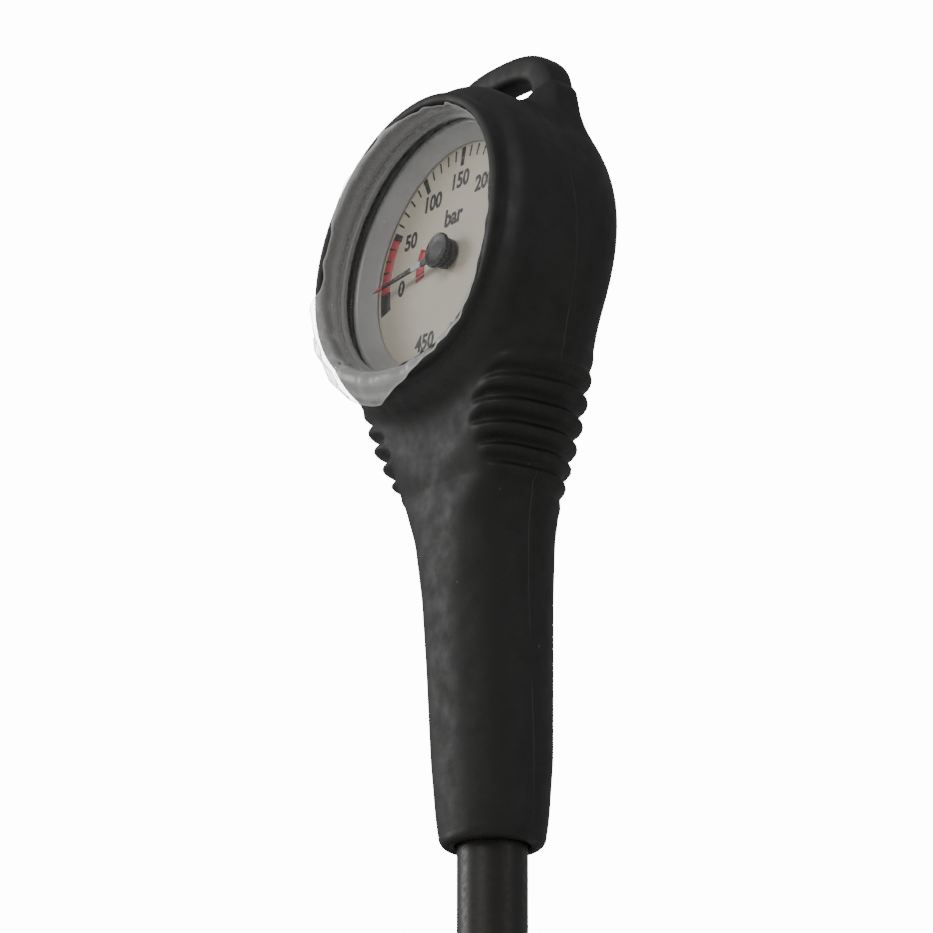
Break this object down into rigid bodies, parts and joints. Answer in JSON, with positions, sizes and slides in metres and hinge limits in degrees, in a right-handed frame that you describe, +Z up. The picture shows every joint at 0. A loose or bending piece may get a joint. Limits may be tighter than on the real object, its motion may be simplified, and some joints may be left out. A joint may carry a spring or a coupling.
{
  "type": "pressure gauge",
  "caption": "Hand-held contents gauge in a black rubber boot with a lanyard loop, a round dial and pointer, on a swivelling high-pressure hose with a threaded end fitting.",
  "frame": {"origin": "middle of the lanyard loop's bar, on its underside, where the gauge hangs", "axes": "+Z up the handle to the loop, -Y towards the reader of the dial, which leans back by 7.5 degrees, +X to the dial's right"},
  "size_m": [0.1555, 0.054, 0.288],
  "materials": {
    "boot_rubber": "matte moulded rubber",
    "hose_rubber": "satin extruded rubber",
    "seal_rubber": "satin",
    "case_steel": "satin",
    "steel": "satin",
    "brass": "satin",
    "tube_bronze": "satin",
    "chromed_brass": "bright plating",
    "clear_plastic": "clear",
    "clear_film": "thin clear film",
    "dial_paint": "eggshell",
    "grey_plastic": "matte",
    "black_plastic": "satin",
    "pointer_paint": "satin",
    "tie_fabric": "woven strap"
  },
  "bodies": {
    "gauge": {"rubber_boot": "boot_rubber", "gauge_case": "case_steel", "relief_plug": "seal_rubber", "lens": "clear_plastic", "lens_seal": "seal_rubber", "lens_ring": "grey_plastic", "lens_film": "clear_film", "dial_ring": "grey_plastic", "dial_plate": "dial_paint", "movement_front_plate": "brass", "movement_back_plate": "brass", "movement_pillar_left": "brass", "movement_pillar_right": "brass", "movement_pillar_lower": "brass", "movement_screw_upper": "steel", "movement_screw_lower": "steel", "hairspring": "tube_bronze", "pressure_tube": "tube_bronze", "socket_block": "brass", "gauge_stem": "chromed_brass", "restrictor": "steel", "swivel_spool": "steel", "spool_seal_upper": "seal_rubber", "spool_seal_lower": "seal_rubber"},
    "pointer": {"pointer": "pointer_paint", "pointer_cap": "black_plastic", "pointer_boss": "black_plastic", "pinion_arbor": "brass"},
    "sector": {"sector_gear": "brass", "sector_arbor": "steel"},
    "link": {"tube_tip": "brass", "link": "steel"},
    "hose": {"hose_nut": "chromed_brass", "hose_tail": "chromed_brass", "ferrule_gauge_end": "chromed_brass", "hose_inner_end": "hose_rubber", "hose": "hose_rubber", "hose_coil": "hose_rubber", "coil_tie_upper": "tie_fabric", "coil_tie_lower": "tie_fabric", "hose_lower_run": "hose_rubber", "ferrule_valve_end": "chromed_brass", "valve_end_fitting": "chromed_brass", "valve_end_seal": "seal_rubber"}
  },
  "joints": [
    {"name": "pointer_turn", "type": "hinge", "parent": "gauge", "child": "pointer", "pos_m": [0, -0.012, -0.0326], "axis": [0, 0.9914, -0.1305], "range_deg": [0, 293.4], "deforming": ["hairspring"]},
    {"name": "sector_turn", "type": "hinge", "parent": "gauge", "child": "sector", "pos_m": [0, -0.01363, -0.04499], "axis": [0, -0.9914, 0.1305], "range_deg": [0, 32.7]},
    {"name": "tip_slide", "type": "slide", "parent": "gauge", "child": "link", "axis": [0.342, 0.1227, 0.9317], "range_m": [0, 0.0028], "stiffness_N_per_m": 1000, "deforming": ["pressure_tube"]},
    {"name": "hose_swivel", "type": "hinge", "parent": "gauge", "child": "hose", "pos_m": [0, -0.0033, -0.0826], "axis": [0, 0, 1], "continuous": true}
  ],
  "couplings": [
    {"joint": "pointer_turn", "follows": "tip_slide", "rad_per_m": 1828},
    {"joint": "sector_turn", "follows": "tip_slide", "rad_per_m": 203.11}
  ]
}
